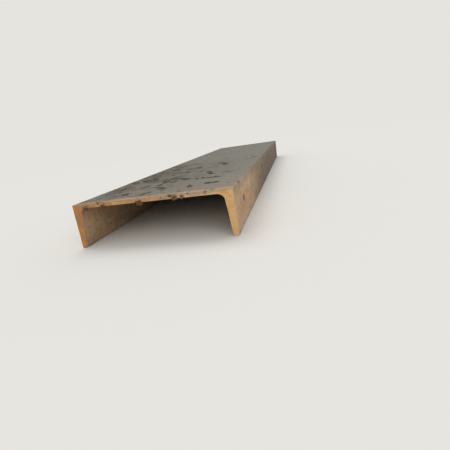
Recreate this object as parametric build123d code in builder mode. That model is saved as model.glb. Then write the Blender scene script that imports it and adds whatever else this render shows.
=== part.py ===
"""Hot-rolled steel channel with tapered flanges, lying on its toes with the web uppermost.

The origin is at the middle of the base, on the level floor that the toes rest on.
X runs across the web, Y runs along the rolled length, and Z is up.
"""

import os

from build123d import *

# Driving dimensions, in millimetres
depth = 320.0  # heel to heel, across the back of the web
flange_width = 88.0  # from the back of the web to the toe
web_thickness = 8.0
flange_thickness = 14.0  # mean, halfway out along the free flange
flange_slope = 0.10  # how fast a flange's inner face tapers, rise over run
root_radius = 14.0  # between the web and a flange's inner face
toe_radius = 7.0  # inner corner of a toe
corner_radius = 1.5  # heels and outer corners of the toes, nearly sharp from the rolls
length = 1420.0  # between the two square-sawn ends

# Sizes that follow from them
free_flange = flange_width - web_thickness
half_taper = flange_slope * free_flange / 2
toe_thickness = flange_thickness - half_taper
root_thickness = flange_thickness + half_taper

with BuildPart() as channel:
    # One half of the rolled section, from the middle of the web to the toe, then its mirror image
    with BuildSketch(Plane.XZ.offset(-length / 2)) as section:
        with BuildLine():
            Polyline(
                (0, flange_width),
                (depth / 2, flange_width),
                (depth / 2, 0),
                (depth / 2 - toe_thickness, 0),
                (depth / 2 - root_thickness, free_flange),
                (0, free_flange),
                close=True,
            )
        make_face()
        root = section.vertices().group_by(Axis.Y)[1].sort_by(Axis.X)[-1]
        fillet(root, radius=root_radius)
        inner_toe = section.vertices().group_by(Axis.Y)[0].sort_by(Axis.X)[0]
        fillet(inner_toe, radius=toe_radius)
        heel_and_outer_toe = section.vertices().group_by(Axis.X)[-1]
        fillet(heel_and_outer_toe, radius=corner_radius)
        mirror(about=Plane.YZ)

    # Rolled straight, from one sawn end to the other
    extrude(amount=length)

channel.part.label = "channel"
os.makedirs("parts", exist_ok=True)
export_step(channel.part, "parts/channel.step")
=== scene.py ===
"""A length of hot-rolled steel channel, lying on its toes: its rusted skin, dirt, floor and light."""

import itertools
import math

import bpy
import numpy as np
from bpy.props import FloatProperty, FloatVectorProperty, IntProperty, PointerProperty
from mathutils import Color, Euler, Matrix, Vector


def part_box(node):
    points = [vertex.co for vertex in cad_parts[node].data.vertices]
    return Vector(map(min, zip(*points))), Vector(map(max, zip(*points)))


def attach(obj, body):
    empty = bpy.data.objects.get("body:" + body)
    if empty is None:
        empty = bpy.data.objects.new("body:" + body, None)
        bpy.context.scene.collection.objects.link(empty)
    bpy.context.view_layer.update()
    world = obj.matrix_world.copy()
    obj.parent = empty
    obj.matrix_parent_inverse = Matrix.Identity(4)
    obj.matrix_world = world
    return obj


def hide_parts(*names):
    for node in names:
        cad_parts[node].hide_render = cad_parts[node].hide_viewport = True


bl_info = {
    "name": "Steel channel",
    "version": (1, 0, 0),
    "blender": (4, 5, 0),
    "location": "3D View > Sidebar > Channel",
    "description": "Rusted skin, dirt, floor and light of a hot-rolled steel channel",
    "category": "Object",
}

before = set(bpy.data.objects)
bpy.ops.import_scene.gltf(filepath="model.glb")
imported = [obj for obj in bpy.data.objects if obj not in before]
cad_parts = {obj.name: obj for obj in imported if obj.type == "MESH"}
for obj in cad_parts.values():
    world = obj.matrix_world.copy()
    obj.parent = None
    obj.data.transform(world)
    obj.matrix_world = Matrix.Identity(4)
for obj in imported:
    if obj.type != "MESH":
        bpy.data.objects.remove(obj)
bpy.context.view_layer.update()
LOW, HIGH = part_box("channel")

MM = 0.001
# The channel in whole millimetres: half its width, its length and its height
HALF_WIDTH, LENGTH, HEIGHT = (round(size / MM) for size in (HIGH.x, HIGH.y - LOW.y, HIGH.z))

# Sockets and setting of a Mix node for colours, and setting of a Map Range node that eases in and out
FACTOR, FIRST, SECOND = 0, 6, 7
OF_COLOURS = {"data_type": "RGBA"}
SMOOTH = {"interpolation_type": "SMOOTHSTEP"}

# Steps along half of the section's outline: round a toe, up a flange, round the root and over half the
# web. The outer outline has as many at the heel as the inner one at the root: before, round and after the
# heel's corner. The last number is for the steps through the steel at a toe or an end.
TOE_STEPS, FLANGE_STEPS, WEB_STEPS = 5, 16, 36
HEEL_STEPS = (4, 3, 4)
ROOT_STEPS = sum(HEEL_STEPS)
THICKNESS_STEPS = 4

# Dark marks on the web: place across and from the near end and reach across and along, in millimetres, and
# how strong each is
WEB_MARKS = (
    (58, 446, 7, 26, 1.6),
    (35, 495, 15, 42, 0.5),
    (60, 250, 6, 14.5, 2.2),
    (46, 286, 7, 15, 1),
    (-16, 426, 8, 23, 1.2),
    (-92, 440, 8, 26, 1.4),
    (-25, 335, 10.5, 24.5, 0.8),
    (30, 410, 25, 54, 0.35),
    (-35, 400, 36, 60, 0.32),
    (15, 335, 28, 44, 0.28),
    (0, 515, 30, 56, 0.25),
    (-10, 168, 8, 11.5, 0.9),
    (-33, 188, 8, 18, 1.8),
    (-27, 228, 8, 20, 1.3),
    (-5, 212, 7, 15, 0.9),
    (12, 197, 8, 15.5, 1.2),
    (22, 190, 6, 11.5, 0.8),
    (44, 178, 6, 10, 0.9),
    (60, 178, 7, 10, 1),
    (77, 172, 7, 11.5, 0.9),
    (94, 172, 12, 12, 0.7),
    (105, 238, 25, 18, 0.45),
    (131, 576, 10, 40, 0.42),
    (107, 540, 8, 34, 0.3),
    (20, 655, 14, 50, 0.3),
    (92, 93, 7, 12, 1.2),
    (108, 91, 8, 11.5, 1.1),
    (58, 76, 6, 14, 1.1),
    (50, 28, 7, 8.5, 0.6),
    (-4, 86, 8, 13, 0.9),
    (-12, 100, 7, 10, 0.8),
    (5, 115, 8, 12, 0.5),
    (-128, 340, 10, 18, 0.9),
    (-114, 338, 10.5, 18, 0.8),
    (-92, 260, 8, 16.5, 1.2),
    (-118, 258, 12, 20, 1),
    (-146, 240, 7, 18, 0.9),
    (-124, 220, 11, 15, 1),
    (-134, 188, 17, 17, 0.6),
    (-41, 206, 6.5, 15, 1.2),
    (-32, 144, 7, 14, 1),
    (-26, 110, 7, 11.5, 0.8),
    (-65, 146, 10, 11.5, 0.7),
    (-22, 56, 9, 9.5, 0.8),
    (-28, 40, 6, 9.5, 1.2),
    (-76, 60, 6, 10.5, 1.2),
    (-116, 126, 7, 11, 0.8),
    (-112, 100, 12, 12, 0.7),
    (-86, 120, 12, 12, 0.6),
    (-70, 130, 10, 10.5, 0.6),
    (-60, 250, 13, 16.5, 0.6),
    (-60, 310, 13, 18, 0.6),
    (-105, 3, 6, 4, 1),
    (120, 8, 5, 5, 0.7),
)

# Dark marks on the near end and on the flanges' outer faces: place across, from the near end and up, and
# reach across and along, in millimetres, and how strong each is
SIDE_MARKS = (
    (-132, 0, 78, 10, 5, 1.1),
    (-95, 0, 80, 9, 5, 1),
    (-20, 0, 79, 8, 6, 1),
    (42, 0, 86, 6, 5, 0.9),
    (51, 0, 80, 9, 6, 1.2),
    (65, 0, 82, 6, 5, 0.9),
    (109, 0, 84, 4, 4, 0.8),
    (160, 101, 49, 5, 8, 1.8),
    (160, 68, 86, 4, 7, 1.3),
    (160, 432, 38, 6, 17, 0.7),
    (160, 518, 60, 6, 26, 0.9),
    (160, 606, 77, 5, 26, 0.7),
    (160, 760, 70, 7, 40, 0.6),
    (-160, 260, 40, 5, 16, 0.8),
    (-160, 905, 52, 7, 30, 0.7),
)

# How far a mark leans across for each millimetre along the channel
MARK_LEAN = 0.22
# Marks on the web that are stronger than this carry a heap of crumbs
HEAP_STRENGTH = 0.6

# Clods of dirt that cling to the upper edge of the near end: place across, height and half width of each,
# in millimetres, and how many lumps make up one
CLODS = (
    (-20, 79.5, 6.5),
    (42, 86, 4.0),
    (51, 81, 6.0),
    (65, 82, 4.2),
    (25, 84, 2.4),
    (-95, 80, 4.5),
    (-104, 86, 2.6),
    (-132, 78, 4.5),
    (76, 86, 2.8),
    (109, 86, 2.6),
)
LUMPS_IN_CLOD = 24

# Wide suns: where each shines from, and how strongly
SUNS = {
    "key": ((-0.35, 0.45, 1.0), 0.95),
    "fill": ((0.52, -0.76, 0.40), 0.80),
    "low": ((-0.10, -1.0, 0.20), 0.40),
}
SUN_WIDTH = math.radians(40)


def linear(code):
    """An sRGB hex colour as linear red, green and blue."""
    values = np.array([int(code[i : i + 2], 16) for i in (1, 3, 5)]) / 255
    low = values / 12.92
    high = ((values + 0.055) / 1.055) ** 2.4
    return tuple(float(v) for v in np.where(values <= 0.04045, low, high))


def colour_property(name, description, code):
    """A colour that the user may change, given as sRGB hex."""
    return FloatVectorProperty(
        name=name, description=description, subtype="COLOR", size=3, min=0, max=1, default=linear(code)
    )


def length_property(name, description, metres):
    """A length that the user may change."""
    return FloatProperty(
        name=name, description=description, subtype="DISTANCE", unit="LENGTH", default=metres, precision=4
    )


def angle_property(name, description, degrees):
    """An angle that the user may change, given in degrees."""
    return FloatProperty(name=name, description=description, unit="ROTATION", default=math.radians(degrees))


class SectionSizes(bpy.types.PropertyGroup):
    """The rolled section and the relief of its skin."""

    web_thickness: length_property("Web thickness", "Thickness of the flat web", 8.0 * MM)
    flange_thickness: length_property("Flange thickness", "Mean thickness of a flange", 14.0 * MM)
    flange_slope: FloatProperty(name="Flange slope", description="Taper of a flange's inside", default=0.10)
    root_radius: length_property("Root radius", "Fillet between web and flange", 14.0 * MM)
    toe_radius: length_property("Toe radius", "Rounding of a toe's inner corner", 7.0 * MM)
    corner_radius: length_property("Corner radius", "Rounding of heels and outer toe corners", 1.5 * MM)
    station_step: length_property("Station step", "Distance between two rings of the skin", 4.2 * MM)
    wave_depth: length_property("Wave depth", "Unevenness that the rolls leave", 0.12 * MM)
    pit_depth: length_property("Pit depth", "Depth of the pits where scale has come off", 0.25 * MM)
    nick_depth: length_property("Nick depth", "Deepest nick in the edge of an end", 0.6 * MM)
    seed: IntProperty(name="Seed", description="Which waves, pits and nicks there are", default=7)


class DirtSizes(bpy.types.PropertyGroup):
    """Crumbs of dirt and flakes of scale that lie on the web."""

    crumbs: IntProperty(name="Crumbs", description="How many crumbs lie in the dark marks", default=460)
    strays: IntProperty(name="Strays", description="How many small crumbs lie between them", default=150)
    smallest: length_property("Smallest", "Width of the smallest crumb", 1.6 * MM)
    largest: length_property("Largest", "Width of the largest crumb", 12.0 * MM)
    tallest: length_property("Tallest", "Height of the tallest crumb above the web", 4.5 * MM)
    spread: length_property("Spread", "Distance from the near end over which strays thin out", 0.40)
    seed: IntProperty(name="Seed", description="Where the crumbs lie", default=21)


class SteelColours(bpy.types.PropertyGroup):
    """Colours of rust, scale, dust and dirt."""

    pale_rust: colour_property("Pale rust", "Thin dusty rust on rolled faces", "#D0B293")
    ochre_rust: colour_property("Ochre rust", "Even rust on rolled faces", "#C19D76")
    bloom: colour_property("Rust bloom", "Fresh orange rust in ragged spots", "#A9744C")
    brown_rust: colour_property("Brown rust", "Older rust in patches", "#86634A")
    mill_scale: colour_property("Mill scale", "Grey scale left from the rolls", "#7D7973")
    # Also painted shade: this colour darkens the rolled faces towards the back, where the light falls off
    grime_and_shade: colour_property("Grime", "Grey-brown film further back on the flanges", "#574839")
    sawn_rust: colour_property("Sawn rust", "Fresh yellow rust on the sawn ends", "#C9A06C")
    wet_rust: colour_property("Wet rust", "Redder rust on the sawn ends", "#AB753E")
    stain: colour_property("Stain", "Dark dabs on the rolled faces", "#684F38")
    warm_dust: colour_property("Warm dust", "Dust near the front, tinted by the rust", "#8B8275")
    dust: colour_property("Dust", "Dust settled on what faces up", "#817C71")
    pale_dust: colour_property("Pale dust", "Thicker, paler dust further back", "#7A7870")
    soot: colour_property("Soot", "Smudges in the dust", "#474239")
    dirt: colour_property("Dirt", "Crumbs of dirt and loose scale", "#554C41")
    clod: colour_property("Clods", "Brown clods on the near end's upper edge", "#5F3F27")


class StageSizes(bpy.types.PropertyGroup):
    """Floor, lamps and camera."""

    floor: colour_property("Floor", "Pale floor and backdrop", "#E6E4DF")
    floor_radius: length_property("Floor radius", "Radius of the floor's disc", 40.0)
    ambient: FloatProperty(name="Ambient", description="Strength of the even light all round", default=0.62)
    camera_x: length_property("Camera across", "Camera's place across the web", 0.2729)
    camera_y: length_property("Camera along", "Camera's place along the channel", -1.2796)
    camera_z: length_property("Camera height", "Camera's height above the floor", 0.1842)
    camera_turn: angle_property("Turn", "Camera turned left", 13.49)
    camera_dip: angle_property("Dip", "Camera tipped down", 15.44)
    camera_roll: angle_property("Roll", "Camera rolled", -8.63)
    lens: FloatProperty(
        name="Lens", description="Focal length on a 36 mm sensor", unit="CAMERA", default=27.08
    )


def add(tree, kind, sockets=None, stops=(), **settings):
    """Adds a shader node with its settings and links.

    A socket is given a value, a colour or another node's output. Another node stands for its first output
    in use. Stops are a colour ramp's places and colours."""
    made = tree.nodes.new("ShaderNode" + kind)
    for name, value in settings.items():
        setattr(made, name, value)
    if stops:
        elements = made.color_ramp.elements
        for place, colour in stops[:-1]:
            elements.new(place).color = (*colour, 1)
        elements[-1].position = stops[-1][0]
        elements[-1].color = (*stops[-1][1], 1)
        elements.remove(elements[0])
    for name, given in (sockets or {}).items():
        if isinstance(given, bpy.types.Node):
            tree.links.new(next(output for output in given.outputs if output.enabled), made.inputs[name])
        elif isinstance(given, bpy.types.NodeSocket):
            tree.links.new(given, made.inputs[name])
        else:
            made.inputs[name].default_value = (*given, 1) if isinstance(given, Color) else given
    return made


def new_material(name):
    """An empty node material and its tree."""
    material = bpy.data.materials.new(name)
    material.use_nodes = True
    material.node_tree.nodes.clear()
    return material, material.node_tree


def lattice_noise(points, size, seed):
    """Random numbers from 0 to 1 on a lattice with cells of that size, blended smoothly between the eight
    corners of each point's cell. The lattice repeats after a number of cells."""
    cells = 32
    numbers = np.random.default_rng(seed).random((cells, cells, cells))
    place = points / size
    cell = np.floor(place).astype(int)
    share = place - cell
    eased = share * share * (3 - 2 * share)
    total = np.zeros(len(points))
    for corner in itertools.product((0, 1), repeat=3):
        weight = np.prod(np.where(corner, eased, 1 - eased), axis=1)
        total += weight * numbers[tuple(((cell + corner) % cells).T)]
    return total


def arc(centre, radius, start, end, steps):
    """Points on an arc from one angle to another, both ends included."""
    angle = np.linspace(start, end, steps + 1)
    return np.stack([centre[0] + radius * np.cos(angle), centre[1] + radius * np.sin(angle)], 1)


def straight(start, end, steps):
    """Points on a straight stretch, both ends included."""
    return np.linspace(start, end, steps + 1)


def section_paths(sizes):
    """The outer and inner outline of the section from toe to toe, with as many points on both.

    Each is half a path, straights joined by tangent arcs, followed by its mirror image. A point of one
    lies across the steel from the point of the same number on the other."""
    half, height = HIGH.x, HIGH.z
    lean = math.atan(sizes.flange_slope)
    free = height - sizes.web_thickness
    toe = half - sizes.flange_thickness + sizes.flange_slope * free / 2
    root = half - sizes.flange_thickness - sizes.flange_slope * free / 2
    corner, root_radius, toe_radius = sizes.corner_radius, sizes.root_radius, sizes.toe_radius

    toe_x = toe + toe_radius * math.tan(math.pi / 4 - lean / 2)
    toe_centre = (toe_x, toe_radius)
    root_x = root - root_radius * math.tan(math.pi / 4 - lean / 2)
    root_centre = (root_x, free - root_radius)
    level = root_centre[1] + root_radius * math.sin(lean)
    flange_foot = (toe_x - toe_radius * math.cos(lean), toe_radius - toe_radius * math.sin(lean))
    flange_head = (root_x + root_radius * math.cos(lean), level)

    inner = [
        arc(toe_centre, toe_radius, -math.pi / 2, lean - math.pi, TOE_STEPS),
        straight(flange_foot, flange_head, FLANGE_STEPS),
        arc(root_centre, root_radius, lean, math.pi / 2, ROOT_STEPS),
        straight((root_x, free), (0, free), WEB_STEPS),
    ]
    below, round_heel, beyond = HEEL_STEPS
    outer = [
        arc((half - corner, corner), corner, -math.pi / 2, 0, TOE_STEPS),
        straight((half, corner), (half, level), FLANGE_STEPS),
        straight((half, level), (half, height - corner), below),
        arc((half - corner, height - corner), corner, 0, math.pi / 2, round_heel),
        straight((half - corner, height), (root_x, height), beyond),
        straight((root_x, height), (0, height), WEB_STEPS),
    ]
    paths = []
    for parts in (outer, inner):
        right = np.concatenate([parts[0], *(part[1:] for part in parts[1:])])
        left = right[-2::-1] * (-1, 1)
        paths.append(np.concatenate([right, left]))
    return paths


def outline_normals(outline):
    """Unit normals of a closed outline, square to the chord between each point's two neighbours."""
    chord = np.roll(outline, -1, 0) - np.roll(outline, 1, 0)
    normal = np.stack([chord[:, 1], -chord[:, 0]], 1)
    return normal / np.linalg.norm(normal, axis=1, keepdims=True)


def mesh_object(name, points, faces, material, smooth_angle=35):
    """A mesh object at the origin, smooth up to that angle between faces, in degrees."""
    mesh = bpy.data.meshes.new(name)
    mesh.from_pydata(points.tolist(), [], faces.tolist())
    mesh.validate()
    mesh.polygons.foreach_set("use_smooth", np.ones(len(mesh.polygons), bool))
    mesh.set_sharp_from_angle(angle=math.radians(smooth_angle))
    mesh.materials.append(material)
    mesh.update()
    made = bpy.data.objects.new(name, mesh)
    bpy.context.scene.collection.objects.link(made)
    return made


def quads(index):
    """Faces of a grid of point numbers, four corners each."""
    return np.stack([index[:-1, :-1], index[1:, :-1], index[1:, 1:], index[:-1, 1:]], -1).reshape(-1, 4)


def skin_stations(sizes):
    """Places of the rings along the channel: close together near both ends, then evenly spaced."""
    near = np.array([0, 0.7, 1.6, 3.0, 5.2, 8.4]) * MM
    middle = np.linspace(LOW.y + near[-1], HIGH.y - near[-1], round((HIGH.y - LOW.y) / sizes.station_step))
    return np.concatenate([LOW.y + near[:-1], middle, (HIGH.y - near[:-1])[::-1]])


def skin_relief(points, normals, sizes):
    """How far each point of the skin is moved, always into the steel.

    Along the normal: a slow wave, plus pits where a finer noise passes a level, and nothing at the toes, on
    which the channel lies. At an end: nicks where a noise passes its level, deepest at the edge, gone a few
    millimetres in, and fewer lower down. A broader noise has a share in each, so pits and nicks come in
    groups. The noises' cells are in millimetres across, along and up."""
    wave = lattice_noise(points, np.array([60, 240, 60]) * MM, sizes.seed)
    pitted = lattice_noise(points, np.array([9, 14, 9]) * MM, sizes.seed + 1)
    broad = lattice_noise(points, np.array([45, 70, 45]) * MM, sizes.seed + 2)
    pit_level, pit_slope = 0.52, 0.12
    pit = np.clip((pitted * 0.6 + broad * 0.4 - pit_level) / pit_slope, 0, 1)
    off_toes = np.clip(points[:, 2] / (2 * MM), 0, 1)
    depth = (wave * sizes.wave_depth + pit * sizes.pit_depth) * off_toes

    chipped = lattice_noise(points, np.array([7, 400, 7]) * MM, sizes.seed + 3)
    rows = lattice_noise(points, np.array([50, 400, 50]) * MM, sizes.seed + 4)
    nick_level, nick_slope, nick_reach = 0.60, 0.25, 5 * MM
    from_end = np.minimum(points[:, 1] - LOW.y, HIGH.y - points[:, 1])
    fade = np.clip(1 - from_end / nick_reach, 0, 1) ** 2
    higher = np.clip(points[:, 2] / HIGH.z, 0, 1) ** 4
    nick = np.clip((chipped * 0.6 + rows * 0.4 - nick_level) / nick_slope, 0, 1) * fade * higher
    moved = -normals * (depth + nick * sizes.nick_depth * 0.6)[:, None]
    moved[:, 1] += np.sign(-points[:, 1]) * nick * sizes.nick_depth
    return moved


def mark_strength(points):
    """How strongly each point is marked: each mark is a bell that falls off with the distance, measured in
    the mark's reach across, along and up, and the strongest one counts.

    Every mark leans a little, to the left the further it is from the near end. One on the web reaches down
    only a third as far as across, so it stays off the web's underside."""
    on_web = [(x, y, HEIGHT, wide, long, wide / 3, strength) for x, y, wide, long, strength in WEB_MARKS]
    on_sides = [(x, y, z, wide, long, wide, strength) for x, y, z, wide, long, strength in SIDE_MARKS]
    strongest = np.zeros(len(points))
    for x, y, z, wide, long, tall, strength in on_web + on_sides:
        apart = points - (x * MM, LOW.y + y * MM, z * MM)
        apart[:, 0] += apart[:, 1] * MARK_LEAN
        apart /= (wide * MM, long * MM, tall * MM)
        strongest = np.maximum(strongest, strength * np.exp(-(apart**2).sum(1)))
    return strongest


def end_grid(ring, count, first):
    """Point numbers of the grid across an end, a row for each of that many pairs of outer and inner points.

    Its border is a ring of the skin, and the points inside it are new ones, numbered from the first."""
    between = THICKNESS_STEPS - 1
    outer, last_toe, inner, first_toe = np.split(ring, [count, count + between, 2 * count + between])
    grid = np.empty((count, THICKNESS_STEPS + 1), int)
    grid[:, 0], grid[:, -1] = outer, inner[::-1]
    grid[0, 1:-1], grid[-1, 1:-1] = first_toe[::-1], last_toe
    grid[1:-1, 1:-1] = first + np.arange((count - 2) * between).reshape(count - 2, between)
    return grid


def steel_skin(sizes, rolled, sawn):
    """The channel's skin: the outline of its section carried along the length, and a grid across each end.

    A ring is the outer path from toe to toe, a row of points across one toe, the inner path back and a row
    across the other. An end's grid runs straight from each outer point to its partner on the inner path."""
    outer, inner = section_paths(sizes)
    share = np.linspace(0, 1, THICKNESS_STEPS + 1)[1:-1, None]
    last_toe = outer[-1] * (1 - share) + inner[-1] * share
    first_toe = inner[0] * (1 - share) + outer[0] * share
    outline = np.concatenate([outer, last_toe, inner[::-1], first_toe])
    stations = skin_stations(sizes)

    grid = np.zeros((len(stations), len(outline), 3))
    grid[:, :, [0, 2]] = outline
    grid[:, :, 1] = stations[:, None]
    normals = np.zeros_like(grid)
    normals[:, :, [0, 2]] = outline_normals(outline)
    points = grid.reshape(-1, 3)
    points += skin_relief(points, normals.reshape(-1, 3), sizes)
    shell = np.arange(len(points)).reshape(grid.shape[:2])
    shell_faces = quads(np.concatenate([shell, shell[:, :1]], 1))

    all_points, all_faces = [points], [shell_faces]
    for end, order in ((0, 1), (-1, -1)):
        cap = end_grid(shell[end], len(outer), sum(map(len, all_points)))
        inside = points[cap[1:-1, :1]] * (1 - share) + points[cap[1:-1, -1:]] * share
        inside[:, :, 1] = stations[end]
        all_points.append(inside.reshape(-1, 3))
        all_faces.append(quads(cap)[:, ::order])
    every_point = np.concatenate(all_points)

    skin = mesh_object("rolled_skin", every_point, np.concatenate(all_faces), rolled)
    skin.data.materials.append(sawn)
    slots = np.zeros(len(skin.data.polygons), int)
    slots[len(shell_faces) :] = 1
    skin.data.polygons.foreach_set("material_index", slots)
    marked = skin.data.attributes.new("marked", "FLOAT", "POINT")
    marked.data.foreach_set("value", mark_strength(every_point).astype(np.float32))
    return skin


def rust_and_scale(tree, place, xyz, patches, mottle, colours):
    """Bare rolled steel: its colour, and the share of mill scale in it.

    The rust goes from pale to brown by the patches, with fresh spots where the mottle is high. Scale is left
    in ragged islands, brown runs come down the sides, and a darker grey-brown grows from the near end to the
    back: painted shade where the light falls off, and partly a film of dirt."""
    flat_place = add(tree, "Mapping", {"Vector": place, "Scale": (1, 0.5, 1)})
    tall_place = add(tree, "Mapping", {"Vector": place, "Scale": (0.2, 1, 0.1)})
    islands = add(
        tree, "TexNoise", {"Vector": flat_place, "Scale": 1 / (22 * MM), "Detail": 7.0, "Roughness": 0.68}
    )
    runs = add(
        tree, "TexNoise", {"Vector": tall_place, "Scale": 1 / (11 * MM), "Detail": 3.0, "Roughness": 0.6}
    )

    stops = [(0.32, colours.pale_rust), (0.56, colours.ochre_rust), (0.90, colours.brown_rust)]
    rust = add(tree, "ValToRGB", {"Fac": patches}, stops)
    spots = add(
        tree, "MapRange", {"Value": mottle, "From Min": 0.52, "From Max": 0.66, "To Max": 0.6}, **SMOOTH
    )
    spotted = add(tree, "Mix", {FACTOR: spots, FIRST: rust, SECOND: colours.bloom}, **OF_COLOURS)
    scale = add(
        tree, "MapRange", {"Value": islands, "From Min": 0.57, "From Max": 0.66, "To Max": 0.32}, **SMOOTH
    )
    steel = add(tree, "Mix", {FACTOR: scale, FIRST: spotted, SECOND: colours.mill_scale}, **OF_COLOURS)
    run = add(tree, "MapRange", {"Value": runs, "From Min": 0.50, "From Max": 0.75, "To Max": 0.18}, **SMOOTH)
    striped = add(tree, "Mix", {FACTOR: run, FIRST: steel, SECOND: colours.brown_rust}, **OF_COLOURS)

    # Painted shade where the light falls off towards the back, and partly a film of dirt: from a little after
    # the near end the rolled faces turn a darker grey-brown
    begins, full = LOW.y + 0.23, LOW.y + 0.82
    uneven = add(tree, "Math", {0: patches, 1: 0.36, 2: xyz["Y"]}, operation="MULTIPLY_ADD")
    back = add(
        tree, "MapRange", {"Value": uneven, "From Min": begins, "From Max": full, "To Max": 0.88}, **SMOOTH
    )
    grimy_and_shaded = add(tree, "Mix", {FACTOR: back, FIRST: striped, SECOND: colours.grime_and_shade}, **OF_COLOURS)
    return grimy_and_shaded, scale


def dust_cover(tree, place, xyz, blots, dabbed, colours):
    """Dust on rolled steel: its colour, its share on what faces up, and its share anywhere.

    It drifts, warm near the front and paler further back. It is rubbed thin in blots along the heels and at
    the near end. A film of it is anywhere but on the marks, and thicker near the top of upright faces."""
    drift = add(
        tree, "TexNoise", {"Vector": place, "Scale": 1 / (130 * MM), "Detail": 6.0, "Roughness": 0.62}
    )
    full = 100 * MM
    further = add(tree, "MapRange", {"Value": xyz["Y"], "From Min": LOW.y, "From Max": full, "To Max": 0.35})
    depth = add(tree, "Math", {0: drift, 1: further}, operation="ADD")
    stops = [(0.40, colours.warm_dust), (0.62, colours.dust), (0.90, colours.pale_dust)]
    dust = add(tree, "ValToRGB", {"Fac": depth}, stops)

    film_foot, rubbed_heel, rubbed_end = HIGH.z - 26 * MM, HIGH.x - 12 * MM, LOW.y + 36 * MM
    facing = add(tree, "SeparateXYZ", {0: add(tree, "NewGeometry").outputs["Normal"]}).outputs["Z"]
    level = add(tree, "MapRange", {"Value": facing, "From Min": 0.30, "From Max": 0.90}, **SMOOTH)
    upright = add(tree, "Math", {0: 1.0, 1: level}, operation="SUBTRACT")
    upper = add(
        tree,
        "MapRange",
        {"Value": xyz["Z"], "From Min": film_foot, "From Max": HIGH.z, "To Max": 0.48},
        **SMOOTH,
    )
    caught = add(tree, "Math", {0: upper, 1: upright}, operation="MULTIPLY")
    hazy = add(tree, "Math", {0: drift, 1: 0.45, 2: caught}, operation="MULTIPLY_ADD")
    unmarked = add(tree, "Math", {0: 1.0, 1: dabbed}, operation="SUBTRACT")
    film = add(tree, "Math", {0: hazy, 1: unmarked}, operation="MULTIPLY")

    across = add(tree, "Math", {0: xyz["X"]}, operation="ABSOLUTE")
    heel = add(
        tree, "MapRange", {"Value": across, "From Min": rubbed_heel, "From Max": HIGH.x, "To Max": 0.7}
    )
    front = add(
        tree,
        "MapRange",
        {"Value": xyz["Y"], "From Min": LOW.y, "From Max": rubbed_end, "To Min": 1.25, "To Max": 0},
        **SMOOTH,
    )
    rim = add(tree, "Math", {0: heel, 1: front}, operation="MAXIMUM")
    bare = add(tree, "Math", {0: rim, 1: blots}, operation="ADD")
    thin = add(
        tree,
        "MapRange",
        {"Value": bare, "From Min": 0.75, "From Max": 1.75, "To Min": 1, "To Max": 0.40},
        **SMOOTH,
    )
    settled = add(tree, "Math", {0: level, 1: thin}, operation="MULTIPLY")
    return dust, settled, add(tree, "Math", {0: settled, 1: film}, operation="MAXIMUM")


def dirtiness(tree, xyz):
    """How dirty each place is: it rises soon after the near end, falls around the channel's middle, and is
    higher on the left than on the right."""
    rise_begins, rise_ends = LOW.y + 0.05, LOW.y + 0.26
    fall_begins, fall_ends = LOW.y + 0.42, LOW.y + 0.78
    right_side = 120 * MM
    rising = add(
        tree,
        "MapRange",
        {"Value": xyz["Y"], "From Min": rise_begins, "From Max": rise_ends, "To Min": 0.85, "To Max": 1.42},
        **SMOOTH,
    )
    fading = add(
        tree,
        "MapRange",
        {"Value": xyz["Y"], "From Min": fall_begins, "From Max": fall_ends, "To Min": 1.0, "To Max": 0.25},
        **SMOOTH,
    )
    near = add(tree, "Math", {0: fading, 1: rising}, operation="MULTIPLY")
    left = add(
        tree,
        "MapRange",
        {"Value": xyz["X"], "From Min": LOW.x, "From Max": right_side, "To Min": 1.0, "To Max": 0.10},
    )
    return add(tree, "Math", {0: near, 1: left}, operation="MULTIPLY")


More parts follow.
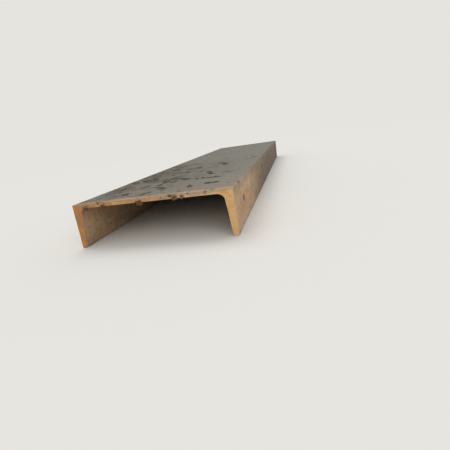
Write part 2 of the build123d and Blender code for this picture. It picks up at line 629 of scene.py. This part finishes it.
def rolled_steel(colours):
    """Hot-rolled structural steel, left to rust and gather dust.

    The rolls leave thin grey mill scale. Damp lifts it in ragged islands, and what is bare turns to an even
    pale ochre rust with fresher orange spots, quite matt, and faintly striped where rain ran down. What faces
    up carries grey dust that hides the rust, smudged and speckled with dirt, most of all near the front end
    and on the left."""
    material, tree = new_material("hot_rolled_steel_rusted")
    place = add(tree, "TexCoord").outputs["Object"]
    xyz = add(tree, "SeparateXYZ", {0: place}).outputs
    long_place = add(tree, "Mapping", {"Vector": place, "Scale": (1, 0.3, 1)})
    patches = add(
        tree, "TexNoise", {"Vector": long_place, "Scale": 1 / (60 * MM), "Detail": 5.0, "Roughness": 0.6}
    )
    mottle = add(tree, "TexNoise", {"Vector": place, "Scale": 1 / (9 * MM), "Detail": 5.0, "Roughness": 0.72})
    grain = add(tree, "TexNoise", {"Vector": place, "Scale": 1 / (2.0 * MM), "Detail": 3.0, "Roughness": 0.7})
    blots = add(tree, "TexNoise", {"Vector": place, "Scale": 1 / (16 * MM), "Detail": 4.0, "Roughness": 0.6})
    smudges = add(
        tree, "TexNoise", {"Vector": place, "Scale": 1 / (34 * MM), "Detail": 5.0, "Roughness": 0.62}
    )
    specks = add(tree, "TexNoise", {"Vector": place, "Scale": 1 / (6 * MM), "Detail": 2.0, "Roughness": 0.5})

    # Rust and scale, with the dark marks torn into ragged dabs
    grimy_and_shaded, scale = rust_and_scale(tree, place, xyz, patches, mottle, colours)
    marked = add(tree, "Attribute", attribute_name="marked").outputs["Fac"]
    torn = add(tree, "Math", {0: mottle, 1: blots}, operation="ADD")
    ragged = add(tree, "Math", {0: torn, 1: 1.5, 2: marked}, operation="MULTIPLY_ADD")
    dabbed = add(
        tree, "MapRange", {"Value": ragged, "From Min": 1.62, "From Max": 2.08, "To Max": 0.97}, **SMOOTH
    )
    stained = add(tree, "Mix", {FACTOR: dabbed, FIRST: grimy_and_shaded, SECOND: colours.stain}, **OF_COLOURS)

    # Dust over them, and smudges, marks and specks in the dust
    dust, settled, cover = dust_cover(tree, place, xyz, blots, dabbed, colours)
    dusted = add(tree, "Mix", {FACTOR: cover, FIRST: stained, SECOND: dust}, **OF_COLOURS)
    busy = dirtiness(tree, xyz)
    smudge = add(
        tree,
        "MapRange",
        {"Value": smudges, "From Min": 0.38, "From Max": 0.64, "To Min": 0.20, "To Max": 0.95},
        **SMOOTH,
    )
    smudged = add(tree, "Math", {0: smudge, 1: busy}, operation="MULTIPLY")
    darker = add(tree, "Math", {0: smudged, 1: dabbed}, operation="MAXIMUM")
    on_dust = add(tree, "Math", {0: darker, 1: settled}, operation="MULTIPLY")
    soiled = add(tree, "Mix", {FACTOR: on_dust, FIRST: dusted, SECOND: colours.soot}, **OF_COLOURS)
    speck = add(
        tree, "MapRange", {"Value": specks, "From Min": 0.62, "From Max": 0.72, "To Max": 0.6}, **SMOOTH
    )
    specked = add(tree, "Math", {0: speck, 1: busy}, operation="MULTIPLY")
    dirty = add(tree, "Mix", {FACTOR: specked, FIRST: soiled, SECOND: colours.dirt}, **OF_COLOURS)

    # A fine grain in the colour, and in the relief, where scale that no dust hides stands out and shines
    mixed = add(tree, "Math", {0: smudges, 1: 1.2, 2: grain}, operation="MULTIPLY_ADD")
    fine = add(
        tree, "MapRange", {"Value": mixed, "From Min": 0.5, "From Max": 1.7, "To Min": 0.76, "To Max": 1.24}
    )
    shade = add(tree, "Mix", {FACTOR: 1.0, FIRST: dirty, SECOND: fine}, blend_type="MULTIPLY", **OF_COLOURS)
    clear = add(
        tree, "MapRange", {"Value": cover, "From Min": 0.2, "From Max": 0.8, "To Min": 1, "To Max": 0}
    )
    shown = add(tree, "Math", {0: scale, 1: clear}, operation="MULTIPLY")
    raised = add(tree, "Math", {0: mottle, 1: shown}, operation="ADD")
    height = add(tree, "Math", {0: grain, 1: 0.5, 2: raised}, operation="MULTIPLY_ADD")
    bump = add(tree, "Bump", {"Height": height, "Strength": 0.5, "Distance": 0.5 * MM})
    roughness = add(tree, "MapRange", {"Value": shown, "From Max": 0.45, "To Min": 0.92, "To Max": 0.62})
    surface = add(
        tree,
        "BsdfPrincipled",
        {"Base Color": shade, "Roughness": roughness, "Specular IOR Level": 0.25, "Normal": bump},
    )
    add(tree, "OutputMaterial", {"Surface": surface})
    return material


def sawn_steel(colours):
    """Sawn steel with flash rust.

    The blade leaves fine slanting lines. Bare steel rusts at once to a fresh, even yellow ochre, a little
    redder where it stayed wet. Dust and dirt have run over the upper edge and stain it."""
    material, tree = new_material("sawn_steel_flash_rusted")
    place = add(tree, "TexCoord").outputs["Object"]
    xyz = add(tree, "SeparateXYZ", {0: place}).outputs
    turned = add(tree, "Mapping", {"Vector": place, "Rotation": (0, math.radians(24), 0)})
    # A wave texture of scale 1 has a line every tenth of pi
    line_scale = 0.1 * math.pi / (1.8 * MM)
    lines = add(
        tree,
        "TexWave",
        {"Vector": turned, "Scale": line_scale, "Distortion": 0.6, "Detail": 2.0, "Detail Scale": 1.5},
        bands_direction="Z",
    )
    mottle = add(
        tree, "TexNoise", {"Vector": place, "Scale": 1 / (30 * MM), "Detail": 6.0, "Roughness": 0.66}
    )
    crumbled = add(
        tree, "TexNoise", {"Vector": place, "Scale": 1 / (7 * MM), "Detail": 4.0, "Roughness": 0.65}
    )
    grain = add(tree, "TexNoise", {"Vector": place, "Scale": 1 / (1.8 * MM), "Detail": 2.0, "Roughness": 0.6})

    # Rust, redder on the left
    reddish = add(
        tree,
        "MapRange",
        {"Value": xyz["X"], "From Min": LOW.x, "From Max": HIGH.x, "To Min": 0.20, "To Max": -0.16},
    )
    tone = add(tree, "Math", {0: mottle, 1: reddish}, operation="ADD")
    stops = [(0.36, colours.sawn_rust), (0.60, colours.wet_rust), (0.95, colours.brown_rust)]
    rust = add(tree, "ValToRGB", {"Fac": tone}, stops)

    # Dust spilt over the upper edge, most of it right of the middle and least in the right corner
    spill_foot = HIGH.z - 7 * MM
    more_from, most_from = -30 * MM, 60 * MM
    less_from, least_from = 118 * MM, 145 * MM
    edge = add(
        tree, "MapRange", {"Value": xyz["Z"], "From Min": spill_foot, "From Max": HIGH.z, "To Max": 0.6}
    )
    frayed = add(tree, "Math", {0: crumbled, 1: 0.5, 2: mottle}, operation="MULTIPLY_ADD")
    right = add(
        tree,
        "MapRange",
        {"Value": xyz["X"], "From Min": more_from, "From Max": most_from, "To Min": 0.10, "To Max": 0.34},
        **SMOOTH,
    )
    clean = add(
        tree,
        "MapRange",
        {"Value": xyz["X"], "From Min": less_from, "From Max": least_from, "To Max": 0.34},
        **SMOOTH,
    )
    blown = add(tree, "Math", {0: right, 1: clean}, operation="SUBTRACT")
    tattered = add(tree, "Math", {0: frayed, 1: blown}, operation="ADD")
    spill = add(tree, "Math", {0: tattered, 1: edge}, operation="ADD")
    spilt = add(
        tree, "MapRange", {"Value": spill, "From Min": 1.00, "From Max": 1.40, "To Max": 0.7}, **SMOOTH
    )
    dusty = add(tree, "Mix", {FACTOR: spilt, FIRST: rust, SECOND: colours.warm_dust}, **OF_COLOURS)

    # Ragged stains at the dark marks
    marked = add(tree, "Attribute", attribute_name="marked").outputs["Fac"]
    ragged = add(tree, "Math", {0: crumbled, 1: 1.4, 2: marked}, operation="MULTIPLY_ADD")
    dabbed = add(
        tree, "MapRange", {"Value": ragged, "From Min": 1.05, "From Max": 1.60, "To Max": 0.75}, **SMOOTH
    )
    stained = add(tree, "Mix", {FACTOR: dabbed, FIRST: dusty, SECOND: colours.stain}, **OF_COLOURS)

    # A fine grain in the colour, painted shade that makes it a little darker near the floor, and saw lines in
    # the relief
    tint = add(tree, "Math", {0: grain, 1: 1.6, 2: crumbled}, operation="MULTIPLY_ADD")
    fine = add(
        tree, "MapRange", {"Value": tint, "From Min": 0.7, "From Max": 1.9, "To Min": 0.76, "To Max": 1.22}
    )
    # Painted shade: the sawn end is darker the nearer it is to the floor
    low = add(tree, "MapRange", {"Value": xyz["Z"], "From Max": 50 * MM, "To Min": 0.93, "To Max": 1.0})
    grain_and_floor_shade = add(tree, "Math", {0: fine, 1: low}, operation="MULTIPLY")
    shade = add(
        tree, "Mix", {FACTOR: 1.0, FIRST: stained, SECOND: grain_and_floor_shade}, blend_type="MULTIPLY", **OF_COLOURS
    )
    kerf = add(tree, "Math", {0: lines.outputs["Fac"], 1: 0.45, 2: grain}, operation="MULTIPLY_ADD")
    bump = add(tree, "Bump", {"Height": kerf, "Strength": 0.5, "Distance": 0.25 * MM})
    surface = add(
        tree,
        "BsdfPrincipled",
        {"Base Color": shade, "Roughness": 0.75, "Specular IOR Level": 0.3, "Normal": bump},
    )
    add(tree, "OutputMaterial", {"Surface": surface})
    return material


def loose_dirt(name, colours, tones, topping):
    """Dried dirt and loose mill scale.

    Broken, crumbly and quite matt, in three tones that run into each other and follow one another from left
    to right, with dust on top."""
    material, tree = new_material(name)
    place = add(tree, "TexCoord").outputs["Object"]
    tone = add(tree, "TexNoise", {"Vector": place, "Scale": 1 / (16 * MM), "Detail": 3.0, "Roughness": 0.6})
    grit = add(tree, "TexNoise", {"Vector": place, "Scale": 1 / (1.6 * MM), "Detail": 2.0, "Roughness": 0.7})
    sideways = add(tree, "SeparateXYZ", {0: place}).outputs["X"]
    shifted = add(tree, "Math", {0: sideways, 1: 2.0, 2: tone}, operation="MULTIPLY_ADD")
    body = add(tree, "ValToRGB", {"Fac": shifted}, list(zip((0.44, 0.58, 0.80), tones)))
    facing = add(tree, "SeparateXYZ", {0: add(tree, "NewGeometry").outputs["Normal"]}).outputs["Z"]
    topped = add(
        tree, "MapRange", {"Value": facing, "From Min": 0.35, "From Max": 1.0, "To Max": topping}, **SMOOTH
    )
    dusty = add(tree, "Mix", {FACTOR: topped, FIRST: body, SECOND: colours.warm_dust}, **OF_COLOURS)
    fine = add(tree, "MapRange", {"Value": grit, "To Min": 0.75, "To Max": 1.2})
    shade = add(tree, "Mix", {FACTOR: 1.0, FIRST: dusty, SECOND: fine}, blend_type="MULTIPLY", **OF_COLOURS)
    bump = add(tree, "Bump", {"Height": grit, "Strength": 0.6, "Distance": 0.5 * MM})
    surface = add(
        tree,
        "BsdfPrincipled",
        {"Base Color": shade, "Roughness": 0.95, "Specular IOR Level": 0.2, "Normal": bump},
    )
    add(tree, "OutputMaterial", {"Surface": surface})
    return material


def lumps(name, centres, halves, headings, grid, seed, material):
    """Many broken lumps as one mesh: globes of rings and meridians, each stretched to its half sizes,
    sheared so that it leans, and turned about the vertical by its heading.

    A point's distance from its lump's centre is the globe's radius times 0.45 to 1.55, by a lattice noise
    that each lump reads at a place of its own."""
    rings, meridians = grid
    nearest, furthest, noise_cell, lean = 0.45, 1.55, 0.8, 0.08
    count = len(centres)
    turn = np.linspace(0, 2 * math.pi, meridians, endpoint=False)
    climb = np.linspace(-math.pi / 2, math.pi / 2, rings + 2)[1:-1, None]
    girth = np.cos(climb)
    belt = np.stack([girth * np.cos(turn), girth * np.sin(turn), np.sin(climb) + 0 * turn], -1)
    globe = np.concatenate([belt.reshape(-1, 3), [(0, 0, -1), (0, 0, 1)]])
    apart = globe[None] + np.arange(count)[:, None, None] * (5, 3, 7)
    noise = lattice_noise(apart.reshape(-1, 3), np.full(3, noise_cell), seed).reshape(count, -1, 1)
    radius = nearest + (furthest - nearest) * noise
    u, v, w = np.moveaxis(globe[None] * radius * halves[:, None], -1, 0)
    leaning = w + u * np.sin(headings * 7)[:, None] * lean
    cosine, sine = np.cos(headings)[:, None], np.sin(headings)[:, None]
    points = centres[:, None] + np.stack([u * cosine - v * sine, u * sine + v * cosine, leaning], -1)

    number = np.arange(rings * meridians).reshape(rings, meridians)
    wrapped = np.concatenate([number, number[:, :1]], 1)
    sides = quads(wrapped)[:, ::-1]
    bottom, top = rings * meridians, rings * meridians + 1
    foot = np.stack([wrapped[0, 1:], wrapped[0, :-1], np.full(meridians, bottom)], 1)
    crown = np.stack([wrapped[-1, :-1], wrapped[-1, 1:], np.full(meridians, top)], 1)
    triangles = np.concatenate([sides[:, [0, 1, 2]], sides[:, [0, 2, 3]], foot, crown])
    offset = (np.arange(count) * len(globe))[:, None, None]
    faces = (triangles[None] + offset).reshape(-1, 3)
    return mesh_object(name, points.reshape(-1, 3), faces, material, smooth_angle=28)


def crumb_lumps(dirt, material):
    """Crumbs on the web, most of them heaped in its stronger marks. Strays thin out from the near end.

    A heap's crumbs lie about the middle of its mark and lean with it. No crumb's middle comes nearer to the
    web's edges than a few millimetres. It is just under the web's surface, so half of the crumb is sunk."""
    chance = np.random.default_rng(dirt.seed)
    marks = np.array(WEB_MARKS)
    heaps = marks[marks[:, 4] > HEAP_STRENGTH]
    share = heaps[:, 2] * heaps[:, 4]
    heap = heaps[chance.choice(len(heaps), dirt.crumbs, p=share / share.sum())]
    apart = chance.normal(0, 0.5, (dirt.crumbs, 2)) * heap[:, 2:4]
    heaped = heap[:, :2] + apart - (MARK_LEAN, 0) * apart[:, 1:]
    edge, near, far, furthest_stray = HALF_WIDTH - 5, 4, LENGTH - 5, LENGTH - 20
    sideways = (chance.beta(1.0, 1.5, dirt.strays) * 2 - 1) * edge
    onwards = np.minimum(chance.exponential(dirt.spread / MM, dirt.strays), furthest_stray)
    stray = np.stack([sideways, onwards], 1)
    place = np.clip(np.concatenate([heaped, stray]), (-edge, near), (edge, far)) * MM

    grown = (dirt.largest - dirt.smallest) * chance.beta(1.2, 2.4, dirt.crumbs) * heap[:, 4] / 2
    size = np.concatenate([dirt.smallest + grown, dirt.smallest * chance.uniform(0.8, 2.2, dirt.strays)])
    count = len(place)
    stretch = chance.uniform(0.8, 1.3, count)
    # A lump's noise makes it stand up to about 1.3 times its half height
    standing, lowest, sunk = 1.3, 0.5 * MM, 0.15 * MM
    height = np.minimum(size * chance.uniform(0.22, 0.45, count), dirt.tallest)
    halves = np.stack([size / 2 * stretch, size / 2 / stretch, np.maximum(height / standing, lowest)], 1)
    centres = np.stack([place[:, 0], LOW.y + place[:, 1], np.full(count, HIGH.z - sunk)], 1)
    headings = chance.uniform(0, math.pi, count)
    return lumps("loose_dirt", centres, halves, headings, grid=(5, 9), seed=dirt.seed, material=material)


def clod_lumps(dirt, material):
    """Clods that cling to the near end's upper edge, each a handful of lumps of different sizes around its
    middle, a little more spread across than up. The lumps' middles are just inside the sawn face and below
    the web's surface."""
    chance = np.random.default_rng(dirt.seed + 1)
    inside, below = 0.3 * MM, 0.4 * MM
    middle = np.repeat(np.array(CLODS) * MM, LUMPS_IN_CLOD, axis=0)
    count = len(middle)
    spread = np.clip(chance.normal(0, 0.38, (count, 2)), -0.7, 0.7) * middle[:, 2:] * (1.0, 0.7)
    height = np.minimum(middle[:, 1] + spread[:, 1], HIGH.z - below)
    centres = np.stack([middle[:, 0] + spread[:, 0], np.full(count, LOW.y + inside), height], 1)
    wide = middle[:, 2] * chance.uniform(0.28, 0.50, count)
    deep = wide * chance.uniform(0.35, 0.6, count)
    tall = wide * chance.uniform(0.6, 0.9, count)
    headings = chance.uniform(-0.3, 0.3, count)
    halves = np.stack([wide, deep, tall], 1)
    return lumps("edge_dirt", centres, halves, headings, grid=(5, 10), seed=dirt.seed + 1, material=material)


def seen_directly(tree):
    """1 for rays from the camera, off a glossy face or through glass, and 0 for any other ray."""
    ray = add(tree, "LightPath").outputs
    mirrored = add(tree, "Math", {0: ray["Is Camera Ray"], 1: ray["Is Glossy Ray"]}, operation="MAXIMUM")
    return add(tree, "Math", {0: mirrored, 1: ray["Is Transmission Ray"]}, operation="MAXIMUM")


def pale_floor(stage):
    """A plain pale disc, a ring of points filled in. It takes shadows near the channel, and further out it
    shows the backdrop's colour. From below it can be looked through."""
    sides = 96
    angle = np.linspace(0, 2 * math.pi, sides, endpoint=False)
    rim = np.stack([np.cos(angle), np.sin(angle), np.zeros(sides)], 1) * stage.floor_radius
    material, tree = new_material("pale_floor")
    floor = mesh_object("floor", rim, np.arange(sides)[None], material)
    shadows_end, backdrop_begins = 1.2, 4.5
    place = add(tree, "TexCoord").outputs["Object"]
    distance = add(tree, "VectorMath", {0: place}, operation="LENGTH")
    far = add(
        tree, "MapRange", {"Value": distance, "From Min": shadows_end, "From Max": backdrop_begins}, **SMOOTH
    )
    share = add(tree, "Math", {0: far, 1: seen_directly(tree)}, operation="MULTIPLY")
    matt = add(tree, "BsdfDiffuse", {"Color": stage.floor})
    glow = add(tree, "Emission", {"Color": stage.floor, "Strength": 1.0})
    lit = add(tree, "MixShader", {0: share, 1: matt, 2: glow})
    behind = add(tree, "NewGeometry").outputs["Backfacing"]
    shown = add(tree, "MixShader", {0: behind, 1: lit, 2: add(tree, "BsdfTransparent")})
    add(tree, "OutputMaterial", {"Surface": shown})


def even_world(stage):
    """Even light from all round, and the floor's colour where the camera looks past the floor."""
    world = bpy.data.worlds.new("studio")
    world.use_nodes = True
    bpy.context.scene.world = world
    tree = world.node_tree
    tree.nodes.clear()
    light = add(tree, "Background", {"Color": (1, 1, 1, 1), "Strength": stage.ambient})
    shown = add(tree, "Background", {"Color": stage.floor, "Strength": 1.0})
    mixed = add(tree, "MixShader", {0: seen_directly(tree), 1: light, 2: shown})
    add(tree, "OutputWorld", {"Surface": mixed})


def soft_sun(name, place, strength):
    """A wide sun, which lights the whole floor alike, shining from a place towards the channel."""
    light = bpy.data.lights.new(name, "SUN")
    light.angle = SUN_WIDTH
    light.energy = strength
    lamp = bpy.data.objects.new(name, light)
    bpy.context.scene.collection.objects.link(lamp)
    lamp.location = place
    lamp.rotation_mode = "QUATERNION"
    lamp.rotation_quaternion = (-Vector(place)).to_track_quat("-Z", "Y")


def set_camera(stage):
    """The camera at the photograph's viewing angle: turned, tipped down and rolled on its line of sight."""
    view = bpy.data.cameras.new("camera")
    view.lens = stage.lens
    view.sensor_width = 36
    view.clip_start = 0.01
    view.clip_end = 200
    camera = bpy.data.objects.new("camera", view)
    bpy.context.scene.collection.objects.link(camera)
    place = Matrix.Translation((stage.camera_x, stage.camera_y, stage.camera_z))
    aim = Euler((math.pi / 2 - stage.camera_dip, 0, stage.camera_turn)).to_matrix()
    rolled = aim @ Matrix.Rotation(stage.camera_roll, 3, "Z")
    camera.matrix_world = place @ rolled.to_4x4()
    bpy.context.scene.camera = camera


class CHANNEL_OT_rolled_skin(bpy.types.Operator):
    """Makes the channel's rolled skin and sawn ends"""

    bl_idname = "channel.rolled_skin"
    bl_label = "Rolled skin"

    def execute(self, context):
        scene = context.scene
        colours = scene.steel_colours
        skin = steel_skin(scene.section_sizes, rolled_steel(colours), sawn_steel(colours))
        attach(skin, "root")
        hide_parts("channel")
        return {"FINISHED"}


class CHANNEL_OT_loose_dirt(bpy.types.Operator):
    """Makes the crumbs on the web and the clods on its near edge"""

    bl_idname = "channel.loose_dirt"
    bl_label = "Loose dirt"

    def execute(self, context):
        scene = context.scene
        colours = scene.steel_colours
        scaly = loose_dirt("dirt_and_loose_scale", colours, (colours.dirt, colours.soot, colours.grime_and_shade), 0.22)
        earthy = loose_dirt("dried_clods", colours, (colours.clod, colours.stain, colours.warm_dust), 0.25)
        for piece in (crumb_lumps(scene.dirt_sizes, scaly), clod_lumps(scene.dirt_sizes, earthy)):
            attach(piece, "root")
        return {"FINISHED"}


class CHANNEL_OT_stage(bpy.types.Operator):
    """Makes the floor, the light and the camera"""

    bl_idname = "channel.stage"
    bl_label = "Floor, light and camera"

    def execute(self, context):
        stage = context.scene.stage_sizes
        context.scene.view_settings.view_transform = "Standard"
        pale_floor(stage)
        even_world(stage)
        for name, (place, strength) in SUNS.items():
            soft_sun(name, place, strength)
        set_camera(stage)
        return {"FINISHED"}


class CHANNEL_PT_panel(bpy.types.Panel):
    """Lists the pieces of the channel and their sizes and colours"""

    bl_label = "Steel channel"
    bl_idname = "CHANNEL_PT_panel"
    bl_space_type = "VIEW_3D"
    bl_region_type = "UI"
    bl_category = "Channel"

    def draw(self, context):
        for operator in OPERATORS:
            self.layout.operator(operator.bl_idname)
        for name in GROUPS:
            box = self.layout.box()
            group = getattr(context.scene, name)
            for field in group.bl_rna.properties.keys():
                if field not in ("rna_type", "name"):
                    box.prop(group, field)


OPERATORS = (CHANNEL_OT_rolled_skin, CHANNEL_OT_loose_dirt, CHANNEL_OT_stage)
GROUPS = {
    "section_sizes": SectionSizes,
    "dirt_sizes": DirtSizes,
    "steel_colours": SteelColours,
    "stage_sizes": StageSizes,
}


def register():
    """Makes the classes and the scene's groups known."""
    for made in (*GROUPS.values(), *OPERATORS, CHANNEL_PT_panel):
        bpy.utils.register_class(made)
    for name, group in GROUPS.items():
        setattr(bpy.types.Scene, name, PointerProperty(type=group))


def unregister():
    """Takes the groups and classes away again."""
    for name in GROUPS:
        delattr(bpy.types.Scene, name)
    for made in (CHANNEL_PT_panel, *OPERATORS, *GROUPS.values()):
        bpy.utils.unregister_class(made)


def main():
    """Builds the pieces in order."""
    register()
    bpy.ops.channel.rolled_skin()
    bpy.ops.channel.loose_dirt()
    bpy.ops.channel.stage()


if __name__ == "__main__":
    main()
